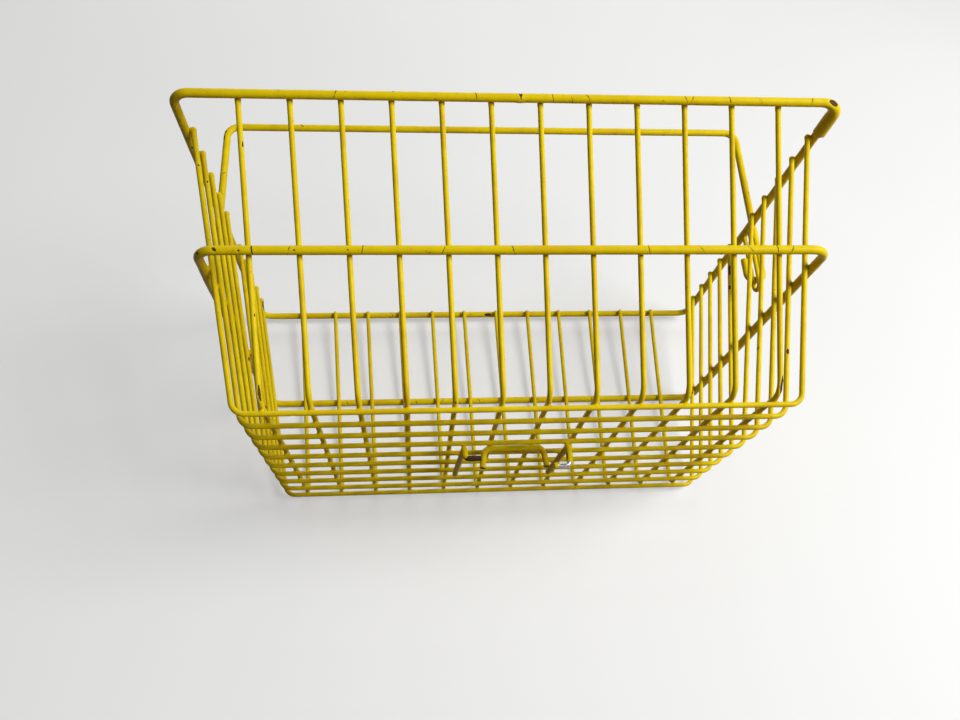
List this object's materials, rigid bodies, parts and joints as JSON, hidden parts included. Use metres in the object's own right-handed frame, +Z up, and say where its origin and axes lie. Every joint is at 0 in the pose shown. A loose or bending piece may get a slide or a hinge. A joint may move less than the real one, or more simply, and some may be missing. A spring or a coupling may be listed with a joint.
{
  "type": "bicycle basket",
  "caption": "Tapered wire basket for a rear rack, with a swinging carry handle and a hook-on bracket under its floor, lying on its long wall.",
  "frame": {"origin": "middle of the bounding box in plan, on the plane the basket lies on", "axes": "+Z up as the basket lies on its long wall; +X along the basket, to the right of someone who looks at its underside; the open mouth and the handle face +Y and the floor with its rack bracket faces -Y. The basket's own up direction is (0, 0.9612, 0.2759)"},
  "size_m": [0.412, 0.29, 0.2957],
  "materials": {
    "coated_frame_wire": "satin yellow dip coating on steel wire, cracked in places",
    "coated_mesh_wire": "satin yellow dip coating on thin steel wire",
    "coated_handle_wire": "satin yellow dip coating on steel wire",
    "coated_rack_rod": "satin yellow dip coating on steel rod",
    "worn_rack_rod": "yellow coating worn through to dull steel at the tongues"
  },
  "bodies": {
    "basket": {"rim_ring": "coated_frame_wire", "belt_ring": "coated_frame_wire", "cross_wire_01": "coated_mesh_wire", "cross_wire_02": "coated_mesh_wire", "cross_wire_03": "coated_mesh_wire", "cross_wire_04": "coated_mesh_wire", "cross_wire_05": "coated_mesh_wire", "cross_wire_06": "coated_mesh_wire", "cross_wire_07": "coated_mesh_wire", "cross_wire_08": "coated_mesh_wire", "cross_wire_09": "coated_mesh_wire", "cross_wire_10": "coated_mesh_wire", "cross_wire_11": "coated_mesh_wire", "cross_wire_12": "coated_mesh_wire", "long_wire_01": "coated_mesh_wire", "long_wire_02": "coated_mesh_wire", "long_wire_03": "coated_mesh_wire", "long_wire_04": "coated_mesh_wire", "long_wire_05": "coated_mesh_wire", "long_wire_06": "coated_mesh_wire", "long_wire_07": "coated_mesh_wire", "long_wire_08": "coated_mesh_wire", "long_wire_09": "coated_mesh_wire", "long_wire_10": "coated_mesh_wire", "handle_loop_left": "coated_mesh_wire", "handle_loop_right": "coated_mesh_wire", "rack_staple": "coated_rack_rod", "rack_hook_left": "worn_rack_rod", "rack_hook_right": "worn_rack_rod"},
    "handle": {"carry_handle": "coated_handle_wire"}
  },
  "joints": [
    {"name": "handle_swing", "type": "hinge", "parent": "basket", "child": "handle", "pos_m": [0, 0.01138, 0.13943], "axis": [1, 0, 0], "range_deg": [-68, 68]}
  ]
}
